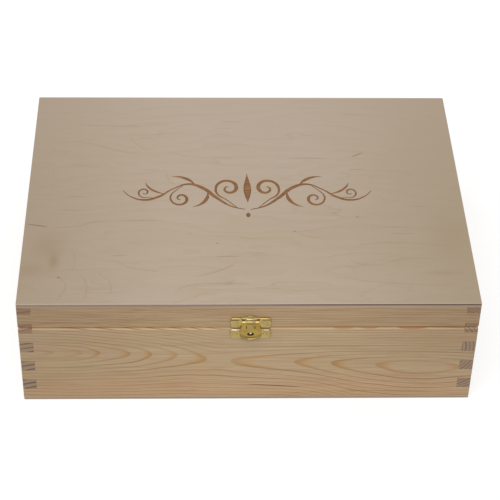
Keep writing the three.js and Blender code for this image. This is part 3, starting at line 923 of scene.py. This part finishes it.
scroll_data = bpy.data.curves.new("scroll", "CURVE")
scroll_data.dimensions = "3D"
scroll_data.twist_mode = "Z_UP"
scroll_data.bevel_mode = "OBJECT"
scroll_data.bevel_object = nib
scroll_data.use_fill_caps = True
for stroke in side_strokes + mirrored + middle_strokes:
    line = scroll_data.splines.new("BEZIER")
    line.resolution_u = 8
    line.radius_interpolation = "CARDINAL"
    line.bezier_points.add(len(stroke) - 1)
    for point, (x, y, width) in zip(line.bezier_points, stroke):
        point.co = ((x + scroll_offset) / 1000, y * scroll_stretch / 1000, 0)
        point.radius = width * stroke_weight
        point.handle_left_type = point.handle_right_type = "AUTO"
scroll = placed("scroll", scroll_data)


def finished_mesh(piece):
    """The mesh of a curve, or of a piece with its modifiers worked out."""
    bpy.context.view_layer.update()
    worked_out = piece.evaluated_get(bpy.context.evaluated_depsgraph_get())
    return bpy.data.meshes.new_from_object(worked_out)


cutter_mesh = finished_mesh(scroll)
cutter_solid = bmesh.new()
cutter_solid.from_mesh(cutter_mesh)
for vertex in cutter_solid.verts:
    rise = cut_above if vertex.co.z > 0 else -cut_depth
    vertex.co.z = (lid_top + rise) / 1000
bmesh.ops.remove_doubles(cutter_solid, verts=cutter_solid.verts, dist=welded_within)
bmesh.ops.recalc_face_normals(cutter_solid, faces=cutter_solid.faces)
cutter_solid.to_mesh(cutter_mesh)
cutter_solid.free()
cutter_mesh.materials.clear()
cutter_mesh.materials.append(burnt.material)
cutter = placed("cutter", cutter_mesh)

panel_low, panel_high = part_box("lid_top_panel")
panel_solid = bmesh.new()
bmesh.ops.create_cube(panel_solid, size=1)
bmesh.ops.scale(panel_solid, vec=panel_high - panel_low, verts=panel_solid.verts)
bmesh.ops.translate(panel_solid, vec=(panel_high + panel_low) / 2, verts=panel_solid.verts)
corner_radius = 0.0008
edge_easing = 0.0002
nearly = 0.0001


def heights(edge):
    return [vertex.co.z for vertex in edge.verts]


uprights = [edge for edge in panel_solid.edges if max(heights(edge)) - min(heights(edge)) > nearly]
ease(panel_solid, uprights, corner_radius, segments=4)
top_rim = [edge for edge in panel_solid.edges if min(heights(edge)) > panel_high.z - nearly]
ease(panel_solid, top_rim, edge_easing, segments=2)
panel_mesh = bpy.data.meshes.new("engraved_lid_panel")
panel_solid.to_mesh(panel_mesh)
panel_solid.free()
panel_mesh.materials.append(lid_plywood.material)
lid_panel = placed("engraved_lid_panel", panel_mesh)
engrave = lid_panel.modifiers.new("engrave", "BOOLEAN")
engrave.object = cutter
engrave.operation = "DIFFERENCE"
engrave.solver = "EXACT"
engrave.use_self = True
engrave.material_mode = "TRANSFER"
engraved = finished_mesh(lid_panel)
lid_panel.modifiers.clear()
lid_panel.data = engraved
for used in (cutter, scroll, nib):
    bpy.data.objects.remove(used)
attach(lid_panel, "lid")
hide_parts("lid_top_panel")


# A pale studio table, wide and white, for the box to stand on. Soft light comes from all round,
# and from a large lamp that hangs above it and in front, a little to the left.

floor_solid = bmesh.new()
bmesh.ops.create_grid(floor_solid, x_segments=1, y_segments=1, size=12)
floor_mesh = bpy.data.meshes.new("table")
floor_solid.to_mesh(floor_mesh)
floor_solid.free()
table = placed("table", floor_mesh)
table_top = bpy.data.materials.new("table_white")
table_top.use_nodes = True
table_tree = table_top.node_tree
table_tree.nodes.clear()
table_wire = Wire(table_tree)


def looked_at(wire):
    """1 for what the camera sees, by itself or in a reflection, and 0 for what lights the box."""
    seen = wire.node("LightPath", {}, {}, output="Is Camera Ray")
    for bounce in ("Glossy", "Transmission"):
        seen = seen.larger(wire.node("LightPath", {}, {}, output="Is " + bounce + " Ray"))
    return seen


lit = table_wire.node("BsdfDiffuse", {}, {"Color": (0.9, 0.9, 0.9, 1)})
softly_lit = table_wire.node("BsdfDiffuse", {}, {"Color": (0.4, 0.4, 0.4, 1)})
glow = table_wire.node("Emission", {}, {"Color": (1, 1, 1, 1), "Strength": 0.7})
seen_table = table_wire.node("AddShader", {}, {0: softly_lit, 1: glow})
table_surface = table_wire.node("MixShader", {}, {0: looked_at(table_wire), 1: lit, 2: seen_table})
out = table_tree.nodes.new("ShaderNodeOutputMaterial")
table_tree.links.new(table_surface.socket, out.inputs["Surface"])
floor_mesh.materials.append(table_top)

world = bpy.data.worlds.new("studio")
bpy.context.scene.world = world
world.use_nodes = True
world_tree = world.node_tree
world_wire = Wire(world_tree)
direction = world_wire.node("TexCoord", {}, {}, output="Generated")
height = world_wire.node("SeparateXYZ", {}, {0: direction}, output="Z")
sky = height.between(0, 0.8) * 0.46 + 0.33
background = world_tree.nodes["Background"]
background.inputs["Color"].default_value = (1, 1, 1, 1)
brightness = sky.larger(looked_at(world_wire))
world_tree.links.new(brightness.socket, background.inputs["Strength"])

lamp_data = bpy.data.lights.new("softbox", "AREA")
lamp_data.shape = "RECTANGLE"
lamp_data.size = 1.6
lamp_data.size_y = 1.2
lamp_data.energy = 11
lamp = placed("softbox", lamp_data)
lamp.location = (-0.3, -0.95, 1.45)
lamp_aim = Vector((0, 0, 0.05))
lamp.rotation_euler = (lamp_aim - lamp.location).to_track_quat("-Z", "Y").to_euler()

# The camera stands a metre in front of the middle of the box and 0.9 m up, turned and rolled a little.
yaw, tilt, roll = (math.radians(angle) for angle in (2.586, 40.744, 1.627))
forward = Vector((math.sin(yaw) * math.cos(tilt), math.cos(yaw) * math.cos(tilt), -math.sin(tilt)))
level = Vector((math.cos(yaw), -math.sin(yaw), 0))
upright = level.cross(forward)
right = math.cos(roll) * level + math.sin(roll) * upright
top = math.cos(roll) * upright - math.sin(roll) * level
camera_data = bpy.data.cameras.new("camera")
camera_data.sensor_width = 36
camera_data.lens = 122.081
camera = placed("camera", camera_data)
camera_place = (-0.04082, -1.00632, 0.90592)
turn = Matrix((right, top, -forward)).transposed().to_4x4()
camera.matrix_world = Matrix.Translation(camera_place) @ turn
bpy.context.scene.camera = camera
bpy.context.scene.view_settings.view_transform = "Standard"
